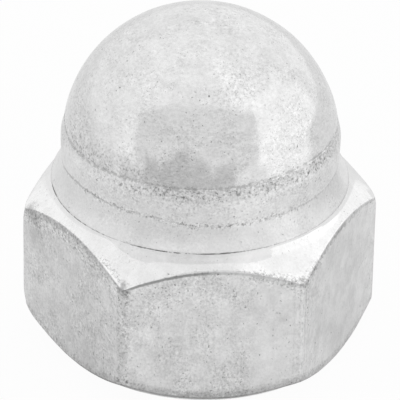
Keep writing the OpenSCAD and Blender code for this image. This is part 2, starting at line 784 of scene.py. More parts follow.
# Dark lines at the collar, the waist and the crown: dirt with painted shade in these creases.
COLLAR_SEAMS = (
    Seam(Mark.COLLAR, 0.035, 0.9, wobble=0.012, gaps=0.42, dash=3.5, place=Place(-8.0, 19.0, 0.3)),
    Seam(Mark.COLLAR, 0.06, 0.7, wobble=0.03, gaps=0.42, dash=4.0, place=Place(3.0, 6.0)),
    Seam(Mark.COLLAR, 0.05, 0.85, wobble=0.04, gaps=0.5, dash=6.0, place=Place(-24.0, 7.0)),
    Seam(Mark.COLLAR, 0.07, 0.8, wobble=0.03, gaps=0.4, dash=3.0, place=Place(-83.0, 4.0)),
    Seam(Mark.COLLAR, 0.05, 0.5, gaps=0.5, dash=6.0, place=Place(18.0, 8.0)),
    Seam(Mark.COLLAR, 0.04, 0.8, wobble=0.02, gaps=0.49, dash=3.5, place=Place(-62.0, 16.0)),
)
WAIST_SEAMS = (
    Seam(Mark.WAIST, 0.09, 0.26, wobble=0.1, gaps=0.47, dash=4.0, place=Place(-25.0, 50.0, 0.55)),
    Seam(Mark.WAIST, 0.08, 0.3, gaps=0.42, dash=3.0, place=Place(-68.0, 20.0)),
)
CROWN_SEAM = Seam(Mark.CROWN, 0.16, 0.34, wobble=0.16, gaps=0.46, dash=4.0)

FINISHES: dict[Zone, PlatedFinish] = {
    Zone.BEARING: PlatedFinish("faced_seat", shade=0.76, roughness=0.3, pits=0.2),
    Zone.FLAT: PlatedFinish(
        "drawn_flats",
        shade=0.825, roughness=0.4, cloud=0.12, blotch=0.05, grain=0.5, stretch=(1.0, 1.0, 0.8),
        pits=0.6, broad=2.0, bump=0.3, grain_per_mm=7.0,
        calm=(Place(64.0, 22.0), Place(21.0, 6.0)),
        seams=(
            Seam(Mark.ARC, 0.14, 0.55, at=-0.03, gaps=0.3, place=Place(-16.0, 13.0, 0.4)),
            Seam(Mark.ARC, 0.35, 0.26, at=-0.06, wobble=0.2, gaps=0.46, dash=4.5, place=Place(24.0, 9.0)),
            Seam(Mark.ARC, 0.35, 0.26, at=-0.1, wobble=0.2, gaps=0.43, dash=2.5, place=Place(-70.0, 26.0)),
            Seam(Mark.ARC, 0.25, 0.34, at=-0.08, wobble=0.1, dash=3.0, place=Place(46.0, 20.0)),
            Seam(Mark.POST, 0.5, 0.12, wobble=0.2, gaps=0.42, dash=3.5, place=Place(LEFT_CORNER, 14.0, 0.2)),
            Seam(Mark.POST, 0.1, 0.2, wobble=0.2, gaps=0.5, dash=3.5, place=Place(LEFT_CORNER, 14.0, 0.4)),
            Seam(Mark.POST, 0.05, 0.12, at=0.22, place=Place(RIGHT_CORNER, 10.0)),
            Seam(Mark.POST, 0.04, 0.1, at=0.5, gaps=0.48, place=Place(RIGHT_CORNER, 10.0)),
            # Painted shade along the base, where the rounded lower edge mirrors the floor's shadow.
            Seam(Mark.BASE, 0.5, 0.26, at=0.1, wobble=0.2, gaps=0.36, dash=2.5, place=Place(8.0, 48.0, 0.3)),
            Seam(Mark.BASE, 0.4, 0.28, at=0.1, wobble=0.2, gaps=0.4, dash=3.0, place=Place(22.0, 9.0)),
            Seam(Mark.BASE, 0.18, 0.45, gaps=0.3, place=Place(-12.0, 45.0, 0.3)),
        ),
        bands=(
            PitBand(Mark.ARC, -0.9, 0.0, 0.7, soft=0.3, place=Place(-62.0, 28.0, 0.15)),
            PitBand(Mark.ARC, -0.5, 0.0, 0.6, soft=0.25, place=Place(25.0, 12.0)),
            PitBand(Mark.ARC, -0.35, 0.0, 0.6, place=Place(52.0, 22.0)),
            PitBand(Mark.POST, -0.1, 0.38, 0.55, soft=0.06, place=Place(LEFT_CORNER, 14.0, 0.25)),
            PitBand(Mark.BASE, -0.1, 0.45, 0.45, soft=0.2),
        ),
        spots=(
            Spot(LEFT_CORNER, 7.15, 0.55, 0.5),
            Spot(RIGHT_CORNER, 7.25, 0.5, 0.45),
            Spot(LEFT_CORNER + 1.0, 1.7, 1.1, 0.1),
            Spot(FAR_LEFT_CORNER + 6.0, 7.4, 0.9, 0.32, 8.8),
            Spot(FAR_LEFT_CORNER + 9.0, 6.0, 1.2, 0.17, 8.6),
        ),
        # Painted shade: the side flats darker; the patches are partly plating tone.
        tones_and_shading=(
            ToneAndShading(Place(-62.0, 22.0), -0.085),
            ToneAndShading(Place(54.0, 23.0), -0.09),
            ToneAndShading(Spot(-24.5, 4.4, 0.8, 1.0, 8.8), 0.06),
            ToneAndShading(Spot(-25.0, 2.6, 1.0, 1.0, 8.8), 0.06),
            ToneAndShading(Spot(-2.0, 6.2, 0.9, 1.0, 8.0), 0.045),
            ToneAndShading(Spot(-1.0, 4.5, 1.0, 1.0, 8.0), 0.035),
            ToneAndShading(Spot(23.0, 3.0, 1.3, 1.0, 8.7), 0.025),
            ToneAndShading(Spot(14.0, 6.0, 1.8, 1.0, 8.2), -0.03),
            ToneAndShading(Spot(-17.0, 3.1, 1.7, 1.0, 8.4), -0.07),
            ToneAndShading(Spot(-46.0, 2.4, 1.8, 1.0, 8.3), -0.05),
        ),
        # Painted highlights: light lines beside the right corner's edge.
        painted_glints=(
            Seam(Mark.POST, 0.05, 0.4, at=0.08, wobble=0.04, gaps=0.44, place=Place(RIGHT_CORNER, 10.0)),
            Seam(Mark.POST, 0.05, 0.25, at=0.36, wobble=0.04, gaps=0.5, place=Place(RIGHT_CORNER, 10.0)),
        ),
    ),
    Zone.CHAMFER: PlatedFinish(
        "bright_chamfer",
        shade=0.88, roughness=0.08, cloud=0.02, blotch=0.03, pits=0.1, bump=0.06, wear=0.01,
        seams=(
            *COLLAR_SEAMS,
            Seam(Mark.ARC, 0.06, 0.4, gaps=0.4, place=Place(-10.0, 18.0, 0.4)),
            Seam(Mark.ARC, 0.2, 0.36, at=0.05, wobble=0.15, gaps=0.48, dash=3.5, place=Place(24.0, 12.0)),
        ),
        bands=(
            PitBand(Mark.ARC, 0.0, 0.15, 0.3),
            PitBand(Mark.ARC, 0.1, 0.5, 0.7, soft=0.1, place=Place(-36.0, 5.0)),
            PitBand(Mark.ARC, 0.0, 0.35, 0.6, soft=0.2, place=Place(25.0, 10.0)),
        ),
        spots=(
            Spot(LEFT_CORNER, 7.25, 0.45, 0.5),
            Spot(RIGHT_CORNER, 7.3, 0.45, 0.5),
            Spot(FAR_LEFT_CORNER + 4.0, 7.55, 0.6, 0.35, 8.9),
        ),
        # Painted light and shade: the chamfer's ends lighter and its front darker.
        tones_and_shading=(
            ToneAndShading(Place(-6.0, 11.0), -0.04),
            ToneAndShading(Place(15.0, 5.0), 0.04),
            ToneAndShading(Place(-78.0, 20.0), 0.09),
            ToneAndShading(Place(66.0, 24.0), 0.08),
        ),
        # Painted highlights: glints beside the left arc and along the collar line.
        painted_glints=(
            Seam(Mark.ARC, 0.1, 1.0, at=0.12, wobble=0.06, gaps=0.4, dash=3.0, place=Place(-36.0, 5.0)),
            Seam(Mark.COLLAR, 0.05, 0.9, at=-0.04, wobble=0.02, gaps=0.4, dash=3.0, place=Place(-38.0, 5.0)),
        ),
        # Painted reflection: the grey crescent under the collar.
        painted_crescents=(PaintedCrescent(-26.0, 19.4, 0.74), PaintedCrescent(-3.0, 14.0, 0.38), PaintedCrescent(16.0, 30.0, 0.66, 23.0)),
    ),
    Zone.COVE: PlatedFinish(
        "smooth_cove",
        shade=0.87, roughness=0.35, cloud=0.02, blotch=0.02, grain=0.26, pits=0.22, bump=0.12,
        wear=0.01,
        seams=(*COLLAR_SEAMS, *WAIST_SEAMS),
        bands=(PitBand(Mark.WAIST, -0.14, 0.05, 1.0, soft=0.1, place=Place(-20.0, 45.0, 0.3)),),
        # Painted light and shade: the cove darker at the right and lighter at the front.
        tones_and_shading=(
            ToneAndShading(Place(58.0, 16.0), -0.19),
            ToneAndShading(Place(31.0, 10.0), -0.08),
            ToneAndShading(Place(6.0, 10.0), 0.02),
            ToneAndShading(Place(-14.0, 9.0), 0.065),
            ToneAndShading(Place(-60.0, 25.0), -0.08),
        ),
    ),
    Zone.NECK: PlatedFinish(
        "turned_neck",
        shade=0.85, roughness=0.38, cloud=0.03, blotch=0.03, grain=0.42, pits=0.35, bump=0.3,
        seams=(
            *WAIST_SEAMS,
            CROWN_SEAM,
            Seam(Mark.CROWN, 0.6, 0.2, at=-0.28, wobble=0.3, gaps=0.42, place=Place(42.0, 30.0, 0.3)),
        ),
        bands=(
            PitBand(Mark.CROWN, -0.6, 0.0, 1.0, soft=0.15, place=Place(12.0, 45.0, 0.3)),
            PitBand(Mark.CROWN, -1.3, -0.5, 0.4, soft=0.3, place=Place(12.0, 45.0, 0.3)),
            PitBand(Mark.WAIST, -0.05, 0.14, 1.0, soft=0.1, place=Place(-20.0, 45.0, 0.3)),
        ),
        # Painted light and shade on the neck's sides.
        tones_and_shading=(ToneAndShading(Place(42.0, 24.0), -0.02), ToneAndShading(Place(16.0, 8.0), 0.06)),
    ),
    Zone.DOME: PlatedFinish(
        "satin_dome",
        shade=0.82, roughness=0.11, blotch=0.04, grain=0.36, grain_per_mm=6.5,
        stretch=(0.8, 0.8, 1.3), pits=0.6, broad=1.0, bump=0.12, wear=0.02,
        seams=(
            CROWN_SEAM,
            Seam(Mark.CROWN, 0.6, 0.12, at=0.25, wobble=0.3, gaps=0.42, dash=1.2, place=Place(-55.0, 25.0)),
        ),
        bands=(
            PitBand(Mark.CROWN, 0.0, 0.5, 0.5, soft=0.3, place=Place(-55.0, 28.0, 0.2)),
            PitBand(Mark.CROWN, 0.0, 1.4, 0.4, soft=0.5, place=Place(-58.0, 26.0)),
            Spot(18.0, 16.4, 1.7, 0.42, 4.5),
            Spot(46.0, 14.6, 1.8, 0.36, 6.1),
            Spot(-20.0, 14.2, 1.5, 0.25, 6.3),
        ),
        # Dome: painted light and shade at the sides and front, lighter plating patches near the top.
        tones_and_shading=(
            ToneAndShading(Place(-75.0, 35.0), -0.02),
            ToneAndShading(Place(48.0, 18.0), -0.03),
            ToneAndShading(Place(15.0, 12.0), 0.02),
            ToneAndShading(Spot(3.0, 17.35, 0.5, 1.0, 3.0), 0.05),
            ToneAndShading(Spot(9.5, 16.95, 0.5, 1.0, 3.7), 0.035),
        ),
    ),
    Zone.THREAD: PlatedFinish("cut_thread", shade=0.7, roughness=0.3, pits=0.1),
}


# -------------------------------------------------------------- geometry


CENTRED = (0.0, 0.0)
# Tags of the path corners at the hexagon's lower and upper edges and at the dome's foot.
BASE_TAG, ARC_TAG, CROWN_TAG = 1.5, 2.5, 2.5
# How far each stretch strays from its true form, in millimetres.
SWAY: dict[Zone, float] = {
    Zone.BEARING: 0.004,
    Zone.FLAT: 0.02,
    Zone.CHAMFER: 0.006,
    Zone.COVE: 0.004,
    Zone.NECK: 0.01,
    Zone.DOME: 0.02,
    Zone.THREAD: 0.0,
}


@dataclass
class Skin:
    """A grid of points round the nut's axis, with what each row and point is.

    The last row is a single point, repeated in every column.
    """

    points: np.ndarray
    zones: list[Zone]
    gaps: dict[Mark, np.ndarray]
    sway: np.ndarray

    def vertices(self) -> np.ndarray:
        """The points one after another, with the last row's point once."""
        return self._listed(self.points)

    def layers(self) -> dict[str, np.ndarray]:
        """The values kept at the points, by their names on the mesh."""
        grids = {mark.value: self.gaps[mark] for mark in Mark} | {"sway": self.sway}
        return {name: self._listed(grid) for name, grid in grids.items()}

    def _listed(self, grid: np.ndarray) -> np.ndarray:
        """List a grid column by column, with its last row once at the end."""
        return np.concatenate([grid[:, :-1].reshape(-1, *grid.shape[2:]), grid[:1, -1]])


@dataclass(frozen=True)
class Bell:
    """A rise that is highest at a heading and dies out to both sides."""

    heading: float
    spread: float
    height: float = 1.0

    def over(self, headings: np.ndarray) -> np.ndarray:
        """Heights of the rise at some headings."""
        return self.height * hump(self.heading, self.spread, headings)


@dataclass
class OuterSkin:
    """The nut's outside: bearing face, hexagon, chamfers, cove, neck and dome.

    The offsets say how far the turned part and the base chamfer stand off the axis, and
    lifted says between which headings the waist rises, stays up and falls again.
    """

    sizes: NutSizes
    turned_offset: tuple[float, float] = (-0.025, 0.25)
    base_offset: tuple[float, float] = (0.17, 0.18)
    edge_softness: float = 0.045
    base_dip: Bell = Bell(70.0, 14.0, 0.15)
    shake: float = 0.02
    waist_lift: float = 0.28
    lifted: tuple[float, float, float, float] = (-90.0, -62.0, -28.0, -4.0)
    crown_drops: tuple[Bell, ...] = (Bell(-68.0, 26.0, 0.3), Bell(-8.0, 28.0, 0.15))
    line_reach: float = 0.6
    flanks: tuple[Bell, ...] = (Bell(-95.0, 40.0), Bell(95.0, 40.0, 0.8))
    flank_draw: float = 0.09
    draw_under_neck: float = 0.55
    flank_flare: float = 0.04
    flare_over_waist: float = 0.2
    flank_reach: float = 0.5
    dome_start: float = 0.975
    columns_on_flat: int = 25
    cove_rows: int = 13
    dome_rows: int = 56
    farthest: float = 3.0

    def azimuths(self) -> np.ndarray:
        """Choose the columns, close together where the flats meet at the corners.

        Returns:
            Azimuths in radians, from one corner all the way round.
        """
        near = np.array([0.0, 0.5, 0.95, 1.3, 1.55, 1.8, 2.1, 2.5, 3.0, 3.6])
        half = np.concatenate([near, np.linspace(4.3, 30.0, self.columns_on_flat)])
        sector = np.concatenate([half, 60.0 - half[-2:0:-1]])
        return np.radians(np.concatenate([sector + 60.0 * k for k in range(6)]))

    def headings(self) -> np.ndarray:
        """Each column's heading from the front flat, between -180 and 180 degrees."""
        return np.degrees(np.angle(np.exp(1j * (self.azimuths() + math.pi / 2))))

    def from_flat(self) -> np.ndarray:
        """Each column's angle from the middle of its flat, in radians."""
        return np.mod(self.azimuths(), math.pi / 3) - math.pi / 6

    def hexagon_r(self) -> np.ndarray:
        """Distance from the axis to the hexagon's side, corners trimmed.

        Returns:
            One radius for each column.
        """
        flat = self.sizes.flat_r / np.cos(self.from_flat())
        gap = flat - self.sizes.corner_r
        return (flat + self.sizes.corner_r - np.sqrt(gap**2 + self.edge_softness**2)) / 2

    def ring(self, r: Any, z: Any, offset: tuple[float, float] | None = None) -> np.ndarray:
        """Points round an axis, one for each column.

        Args:
            r: Radius, one for all columns or one for each.
            z: Height, the same way.
            offset: Where the axis stands, or None for the turned part's.

        Returns:
            The points, one row each.
        """
        x, y = self.turned_offset if offset is None else offset
        azimuth = self.azimuths()
        parts = np.broadcast_arrays(np.cos(azimuth) * r + x, np.sin(azimuth) * r + y, z)
        return np.stack(parts, axis=1)

    def build(self) -> Skin:
        """Lay out the whole outside.

        Returns:
            The skin, from the mouth's rim up to the dome's top.
        """
        low, low_tags = self._foot()
        cove = self._cove()
        neck, neck_tags = self._neck()
        dome = self._dome()
        points = np.concatenate([low, cove, neck[:, 1:], dome], axis=1)
        zones = (
            [self._low_zone(t) for t in low_tags]
            + [Zone.COVE] * cove.shape[1]
            + [Zone.NECK if t < CROWN_TAG else Zone.DOME for t in neck_tags[1:]]
            + [Zone.DOME] * dome.shape[1]
        )
        collar = len(low_tags) - 1
        waist = collar + cove.shape[1]
        rows = {
            Mark.BASE: self._middle(low_tags, BASE_TAG),
            Mark.ARC: self._middle(low_tags, ARC_TAG),
            Mark.COLLAR: collar,
            Mark.WAIST: waist,
            Mark.CROWN: waist + self._middle(neck_tags, CROWN_TAG),
        }
        gaps = self._gaps(points, rows)
        self._misturn(points)
        sway = np.tile(np.array([SWAY[z] for z in zones]), (len(points), 1))
        return Skin(points, zones, gaps, sway)

    def _foot(self) -> tuple[np.ndarray, np.ndarray]:
        """Lay out the bearing face, the hexagon, both its chamfers and the collar.

        Returns:
            The points, and each row's place along the path.
        """
        s, side = self.sizes, self.hexagon_r()
        edge = self.ring(side, 0.0, CENTRED)[:, :2]
        from_turned = np.linalg.norm(edge - self.turned_offset, axis=1)
        from_base = np.linalg.norm(edge - self.base_offset, axis=1)
        top_z = s.flat_h - (from_turned - s.flat_r) * slope(s.top_slope)
        base_z = (from_base - s.bearing_r) * slope(s.base_slope)
        base_z -= self.base_dip.over(self.headings())
        corners = [
            self.ring(s.mouth_r, 0.0, CENTRED),
            self.ring(s.bearing_r, 0.0, self.base_offset),
            self.ring(side, base_z, CENTRED),
            self.ring(side, top_z, CENTRED),
            self.ring(s.collar_r, s.collar_foot_z),
            self.ring(s.collar_r, s.collar_z),
        ]
        radii = [0.2, 0.28, 0.14, (0.6, 0.24)]
        return rounded_path(corners, radii, arc_steps=[3, 6, 5, 9], span_steps=[8, 3, 34, 5, 1])

    def _cove(self) -> np.ndarray:
        """Lay out the cove's hollow, up to the waist.

        Returns:
            The points, without those at the collar.
        """
        s = self.sizes
        low, high = np.array([s.collar_r, s.collar_z]), np.array([s.waist_r, s.waist_z])
        chord = high - low
        length = float(np.linalg.norm(chord))
        outward = np.array([chord[1], -chord[0]]) / length
        centre = (low + high) / 2 + outward * math.sqrt(s.cove_r**2 - length**2 / 4)
        start, end = (math.atan2(*(point - centre)[::-1]) for point in (low, high))
        turn = (end - start + math.pi) % (2 * math.pi) - math.pi
        angles = start + turn * np.linspace(0.0, 1.0, self.cove_rows)[1:]
        return self._arc_rings(centre[0], centre[1], s.cove_r, angles)

    def _neck(self) -> tuple[np.ndarray, np.ndarray]:
        """Lay out the neck, its shoulder and the ledge round the dome's foot.

        Returns:
            The points, and each row's place along the path.
        """
        s = self.sizes
        lap_r = s.dome_r * math.cos(math.asin(s.neck_lap / s.dome_r))
        start_z = s.dome_z + s.dome_r * math.sqrt(1 - self.dome_start**2)
        corners = [
            self.ring(s.waist_r, s.waist_z),
            self.ring(s.neck_r, s.neck_z - s.shoulder_h),
            self.ring(lap_r + 0.1 * s.ledge, s.neck_z),
            self.ring(lap_r - 0.4 * s.ledge, s.neck_z + s.ledge_rise),
            self.ring(s.dome_r * self.dome_start, start_z),
        ]
        return rounded_path(corners, [0.5, 0.06, 0.05], arc_steps=[4, 2, 2], span_steps=[9, 6, 1, 1])

    def _dome(self) -> np.ndarray:
        """Lay out the dome over the neck's path."""
        climb = np.linspace(math.acos(self.dome_start), math.pi / 2, self.dome_rows)[1:]
        return self._arc_rings(0.0, self.sizes.dome_z, self.sizes.dome_r, climb)

    def _arc_rings(self, r: float, z: float, arc_r: float, angles: np.ndarray) -> np.ndarray:
        """Lay rings along an arc of the section about its centre's radius and height."""
        rings = [self.ring(r + arc_r * math.cos(a), z + arc_r * math.sin(a)) for a in angles]
        return np.stack(rings, axis=1)

    def _gaps(self, points: np.ndarray, rows: dict[Mark, int]) -> dict[Mark, np.ndarray]:
        """Measure how far each point lies from each line.

        Args:
            points: The outside's points.
            rows: Row on which each line lies.

        Returns:
            Distances up the section from each line, and from the nearest corner.
        """
        steps = np.linalg.norm(np.diff(points, axis=1), axis=2)
        along = np.concatenate([np.zeros((len(points), 1)), np.cumsum(steps, axis=1)], axis=1)
        reach = self.farthest
        gaps = {m: np.clip(along - along[:, r : r + 1], -reach, reach) for m, r in rows.items()}
        post = self.sizes.flat_r * (math.tan(math.pi / 6) - np.abs(np.tan(self.from_flat())))
        gaps[Mark.POST] = np.tile(post[:, None], (1, points.shape[1]))
        return gaps

    def _misturn(self, points: np.ndarray) -> None:
        """Let the turned lines wander in height, and draw the neck in at its flanks.

        Args:
            points: The outside's points, which it moves.
        """
        s, heading = self.sizes, self.headings()
        shake = self.shake * rough_field(self.ring(s.neck_r, 0.0), per_mm=0.9, seed=3.0, octaves=2)
        start, up, falling, end = self.lifted
        waist = shake + self.waist_lift * smooth(start, up, heading) * smooth(end, falling, heading)
        crown = shake - sum(bell.over(heading) for bell in self.crown_drops)
        for z, shift in ((s.waist_z, waist), (s.neck_z, crown)):
            points[:, :, 2] += shift[:, None] * hump(z, self.line_reach, points[:, :, 2])
        around = self.ring(1.0, 0.0, CENTRED)[:, None, :2]
        flank = sum(bell.over(heading) for bell in self.flanks)[:, None]
        draw = (s.neck_z - self.draw_under_neck, -self.flank_draw)
        flare = (s.waist_z + self.flare_over_waist, self.flank_flare)
        for z, shift in (draw, flare):
            push = shift * flank * hump(z, self.flank_reach, points[:, :, 2])
            points[:, :, :2] += around * push[:, :, None]

    def _low_zone(self, tag: float) -> Zone:
        """Name the stretch of a tag on the foot's path; the lower chamfer counts as a flat."""
        return Zone.BEARING if tag < 1.0 else Zone.FLAT if tag <= ARC_TAG else Zone.CHAMFER

    def _middle(self, tags: np.ndarray, tag: float) -> int:
        """Number of the row in the middle of a tag's rows."""
        return int(np.mean(np.flatnonzero(np.abs(tags - tag) < 0.01)))


@dataclass
class TappedBore:
    """The blind threaded bore with its countersunk mouth and drill point.

    The groove's half widths are shares of the pitch.
    """

    sizes: NutSizes
    columns: int = 136
    rows_per_turn: int = 12
    cone_rows: int = 6
    plain_top: float = 0.8
    lead_out: float = 1.2
    root_room: float = 0.02
    groove_top: float = 3 / 8
    groove_floor: float = 1 / 16

    def thread_depth(self, phase: np.ndarray) -> np.ndarray:
        """Depth of the groove, from 0 to 1, at a share of the pitch; it is deepest at a half."""
        from_root = np.abs(np.mod(phase, 1.0) - 0.5)
        return np.clip((self.groove_top - from_root) / (self.groove_top - self.groove_floor), 0.0, 1.0)

    def build(self) -> Skin:
        """Lay out the bore from the mouth's rim to the drill point's tip.

        Returns:
            The skin, whose rows climb with the thread.
        """
        s = self.sizes
        turn = np.arange(self.columns)[:, None] / self.columns
        step = s.pitch / self.rows_per_turn
        rows = math.ceil((s.wall_high + s.pitch) / step) + 1
        height = np.arange(rows) * step - s.pitch + turn * s.pitch
        height = np.clip(height, 0.0, s.wall_high)
        thread_top = s.wall_high - self.plain_top
        fade = smooth(thread_top, thread_top - self.lead_out, height)
        root = s.thread_d / 2 + self.root_room - s.bore_r
        cut = self.thread_depth(height / s.pitch - turn) * fade * root
        mouth = s.mouth_r - height * (s.mouth_r - s.bore_r) / s.wall_low
        radius = np.maximum(s.bore_r + cut, mouth)
        tip = s.bore_r / slope(s.point_angle / 2)
        share = np.linspace(0.0, 1.0, self.cone_rows + 1)[1:]
        radius = np.hstack([radius, np.tile(s.bore_r * (1 - share), (self.columns, 1))])
        height = np.hstack([height, np.tile(s.wall_high + tip * share, (self.columns, 1))])
        angle = 2 * math.pi * turn
        points = np.stack([np.cos(angle) * radius, np.sin(angle) * radius, height], axis=2)
        level = np.zeros(radius.shape)
        gaps = {mark: level - OuterSkin.farthest for mark in Mark}
        return Skin(points, [Zone.THREAD] * radius.shape[1], gaps, level)


@dataclass(frozen=True)
class Knock:
    """A dent: the heading and height it is at, how wide, how deep and how tall for its width."""

    heading: float
    height: float
    reach: float
    depth: float
    stretch: float = 1.0

    def dent(self, place: np.ndarray, radius: float) -> np.ndarray:
        """Depth of the dent at some points, when it lies at a radius from the axis."""
        off = (place - heading_point(self.heading, radius, self.height)) / (1.0, 1.0, self.stretch)
        return self.depth * hump(0.0, self.reach, np.linalg.norm(off, axis=1))


@dataclass
class CapNut:
    """The whole nut as one closed, dressed mesh."""

    sizes: NutSizes
    name: str = "cap_nut_body"
    knocks: tuple[Knock, ...] = (
        Knock(LEFT_CORNER, 7.3, 0.4, 0.16),
        Knock(RIGHT_CORNER, 7.3, 0.35, 0.12),
        Knock(RIGHT_CORNER, 5.2, 0.25, 0.05, 3.0),
        Knock(LEFT_CORNER, 3.0, 0.25, 0.06, 3.0),
        Knock(LEFT_CORNER, 5.4, 0.2, 0.05, 2.0),
        Knock(FAR_LEFT_CORNER + 1.0, 7.3, 0.4, 0.13),
        Knock(FAR_LEFT_CORNER, 1.4, 0.5, 0.1),
        Knock(FAR_RIGHT_CORNER, 7.3, 0.3, 0.08),
    )
    merge_gap: float = 0.0005
    fine_sway: float = 0.4

    def make(self) -> bpy.types.Object:
        """Build the mesh, dress it and fix it to the frame.

        Returns:
            The finished object.
        """
        outer, bore = OuterSkin(self.sizes).build(), TappedBore(self.sizes)
        inner = bore.build()
        faces, zones = self._faces(outer, bore, inner)
        vertices = np.concatenate([outer.vertices(), inner.vertices()])
        made = new_object(self.name, (vertices * MM).tolist(), faces)
        mesh = made.data
        for zone in Zone:
            mesh.materials.append(Plating(FINISHES[zone]).material())
        mesh.polygons.foreach_set("material_index", [z.value for z in zones])
        for label, values in outer.layers().items():
            values = np.concatenate([values, inner.layers()[label]])
            mesh.attributes.new(label, "FLOAT", "POINT").data.foreach_set("value", values)
        self._clean(mesh)
        self._unevenness(mesh)
        mesh.polygons.foreach_set("use_smooth", [True] * len(mesh.polygons))
        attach(made, "root")
        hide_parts("cap_nut")
        return made

    def _faces(self, outer: Skin, bore: TappedBore, inner: Skin) -> tuple[list[Any], list[Zone]]:
        """Join the points of the outside and of the bore into one closed skin.

        Args:
            outer: The outside, whose vertices come first.
            bore: The bore's sizes.
            inner: The bore, whose vertices follow.

        Returns:
            The faces as vertex numbers, and each face's zone.
        """
        rows, deep_rows = outer.points.shape[1] - 1, inner.points.shape[1] - 1
        top = len(outer.points) * rows
        tip = top + 1 + len(inner.points) * deep_rows
        outside = np.arange(top).reshape(-1, rows)
        hole = np.arange(top + 1, tip).reshape(-1, deep_rows)
        next_hole = np.roll(hole, -1, axis=0)
        wall_end = deep_rows - bore.cone_rows
        next_hole[-1, :wall_end] = hole[0, np.minimum(np.arange(wall_end) + bore.rows_per_turn, wall_end)]
        faces: list[Any] = []
        zones: list[Zone] = []
        for here, there in zip(outside.tolist(), np.roll(outside, -1, axis=0).tolist()):
            faces += [(here[r], there[r], there[r + 1], here[r + 1]) for r in range(1, rows - 1)]
            faces.append((here[-1], there[-1], top))
            zones += [*outer.zones[2:rows], Zone.DOME]
        for here, there in zip(hole.tolist(), next_hole.tolist()):
            for r in range(deep_rows - 1):
                faces.append(tuple(dict.fromkeys((here[r], here[r + 1], there[r + 1], there[r]))))
            faces.append((here[-1], tip, there[-1]))
            zones += [Zone.THREAD] * deep_rows
        rim, mouth = [*outside[:, 1].tolist(), 1], [*hole[:, 0].tolist(), top + 1]
        per = len(outside) // len(hole)
        for c in range(len(hole)):
            faces.append((mouth[c], mouth[c + 1], *rim[c * per : (c + 1) * per + 1][::-1]))
        zones += [Zone.BEARING] * len(hole)
        return faces, zones

    def _clean(self, mesh: bpy.types.Mesh) -> None:
        """Merge what coincides and drop the faces that this flattens.

        Args:
            mesh: The mesh to clean.
        """
        work = bmesh.new()
        work.from_mesh(mesh)
        bmesh.ops.remove_doubles(work, verts=work.verts, dist=self.merge_gap * MM)
        bmesh.ops.dissolve_degenerate(work, edges=work.edges, dist=self.merge_gap * MM)
        loose = [v for v in work.verts if not v.link_faces]
        bmesh.ops.delete(work, geom=loose, context="VERTS")
        bmesh.ops.recalc_face_normals(work, faces=work.faces)
        work.to_mesh(mesh)
        work.free()

    def _unevenness(self, mesh: bpy.types.Mesh) -> None:
        """Push the skin in and out a little, and dent it at the knocks.

        Args:
            mesh: The mesh to change, with its sway layer in millimetres.
        """
        count = len(mesh.vertices)
        place, normal, sway = np.empty(count * 3), np.empty(count * 3), np.empty(count)
        mesh.vertices.foreach_get("co", place)
        mesh.vertex_normals.foreach_get("vector", normal)
        mesh.attributes["sway"].data.foreach_get("value", sway)
        place, normal = place.reshape(-1, 3) / MM, normal.reshape(-1, 3)
        moved = np.zeros(count)
        live = sway > 0
        broad = rough_field(place[live], per_mm=0.4, seed=11.0)
        fine = rough_field(place[live], per_mm=1.4, seed=5.0)
        moved[live] = sway[live] * (broad + self.fine_sway * fine - 1.0)
        for knock in self.knocks:
            moved -= knock.dent(place, self.sizes.corner_r)
        place += normal * moved[:, None]
        place[:, 2] = np.maximum(place[:, 2], 0.0)
        mesh.vertices.foreach_set("co", (place * MM).ravel())
        mesh.update()


# ----------------------------------------------------------------- studio


WHITE = (1.0, 1.0, 1.0, 1.0)


@dataclass(frozen=True)
class SkyPatch:
    """A stretch of the surroundings, brighter or darker than the rest, in degrees."""

    turn: float
    half_width: float
    low: float
    high: float
    level: float
    side_soft: float = 5.0
    top_soft: float = 5.0
    flare: float = 0.0
    straight: bool = False

    def mask(self, bench: NodeBench, up: Socket, front: float) -> Socket:
        """Mark the patch in the directions that the bench reads at.

        Args:
            bench: The world's tree.
            up: Upward part of the direction.
            front: Heading that the studio faces.

        Returns:
            A mask that is 1 inside the patch.
        """
        heading = front + self.turn
        ahead = bench.vector("DOT_PRODUCT", bench.where, heading_point(heading))
        side = bench.vector("DOT_PRODUCT", bench.where, heading_point(heading + 90.0))
        rise = bench.math("DEGREES", bench.math("ARCSINE", up))
        off = bench.math("ABSOLUTE", bench.math("DEGREES", bench.math("ARCTAN2", side, ahead)))
        off = bench.math("MULTIPLY_ADD", rise, -self.flare, off)
        climb = bench.math("DEGREES", bench.math("ARCTAN2", up, ahead)) if self.straight else rise
        soft = self.side_soft / 2
        across = bench.ease(off, self.half_width + soft, self.half_width - soft)
        return bench.math("MULTIPLY", across, bench.within(climb, self.low, self.high, self.top_soft / 2))


@dataclass(frozen=True)
class SkyPanel:
    """A panel of the surroundings; each edge is a plane through the nut and its softness."""

    edges: tuple[tuple[Triple, float], ...]
    level: float

    def mask(self, bench: NodeBench, turned: Socket) -> Any:
        """Mask that is 1 inside the panel, for directions counted from the studio's heading."""
        pasts = ((bench.vector("DOT_PRODUCT", turned, lean), soft / 2) for lean, soft in self.edges)
        return bench.math("MULTIPLY", *(bench.ease(past, soft, -soft) for past, soft in pasts))


